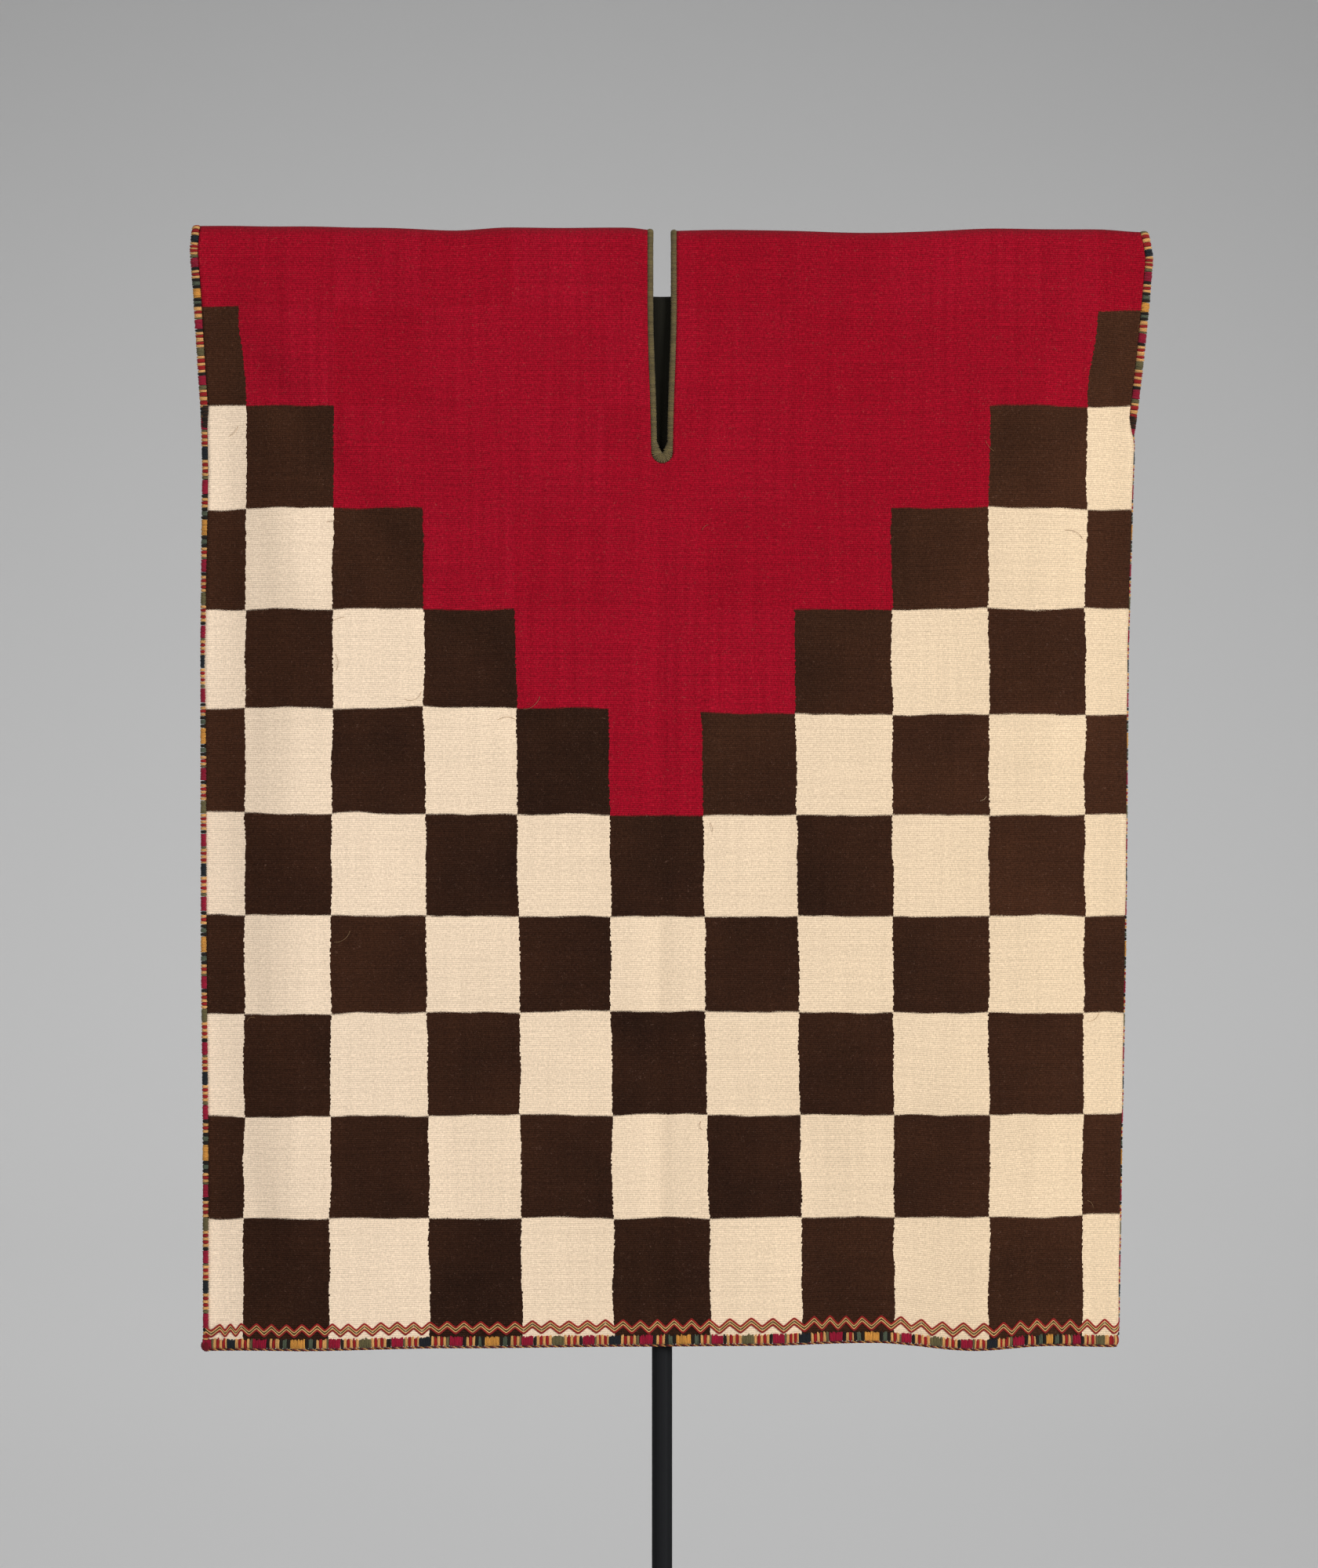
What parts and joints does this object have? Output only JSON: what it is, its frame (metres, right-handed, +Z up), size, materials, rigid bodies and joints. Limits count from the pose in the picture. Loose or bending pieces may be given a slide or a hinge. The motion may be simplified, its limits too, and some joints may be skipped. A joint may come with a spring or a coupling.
{
  "type": "sleeveless tapestry tunic on a display stand",
  "caption": "Checkered tapestry-woven sleeveless tunic with a red stepped yoke, a slit neck and bound edges, shown on a padded board with a pole and a floor plate.",
  "frame": {"origin": "middle of the floor plate's underside, under the pole", "axes": "+Z up, -Y out of the tunic's front, +X to the right of somebody who looks at the front"},
  "size_m": [0.7545, 0.32, 1.4405],
  "materials": {
    "tapestry_wool": "fine ribbed tapestry weave in cream, dark brown and crimson",
    "olive_yarn": "close buttonhole stitches",
    "striped_yarn": "close wrapped stitches in stripes",
    "board_cover": "matt black cotton jersey",
    "stand_steel": "matt black powder coat"
  },
  "bodies": {
    "root": {"tunic_cloth": "tapestry_wool", "neck_binding": "olive_yarn", "armhole_binding_left": "striped_yarn", "armhole_binding_right": "striped_yarn", "side_binding_left_front": "striped_yarn", "side_binding_left_back": "striped_yarn", "side_binding_right_front": "striped_yarn", "side_binding_right_back": "striped_yarn", "hem_binding_front": "striped_yarn", "hem_binding_back": "striped_yarn", "display_board": "board_cover", "pole": "stand_steel", "base_plate": "stand_steel"}
  },
  "joints": []
}
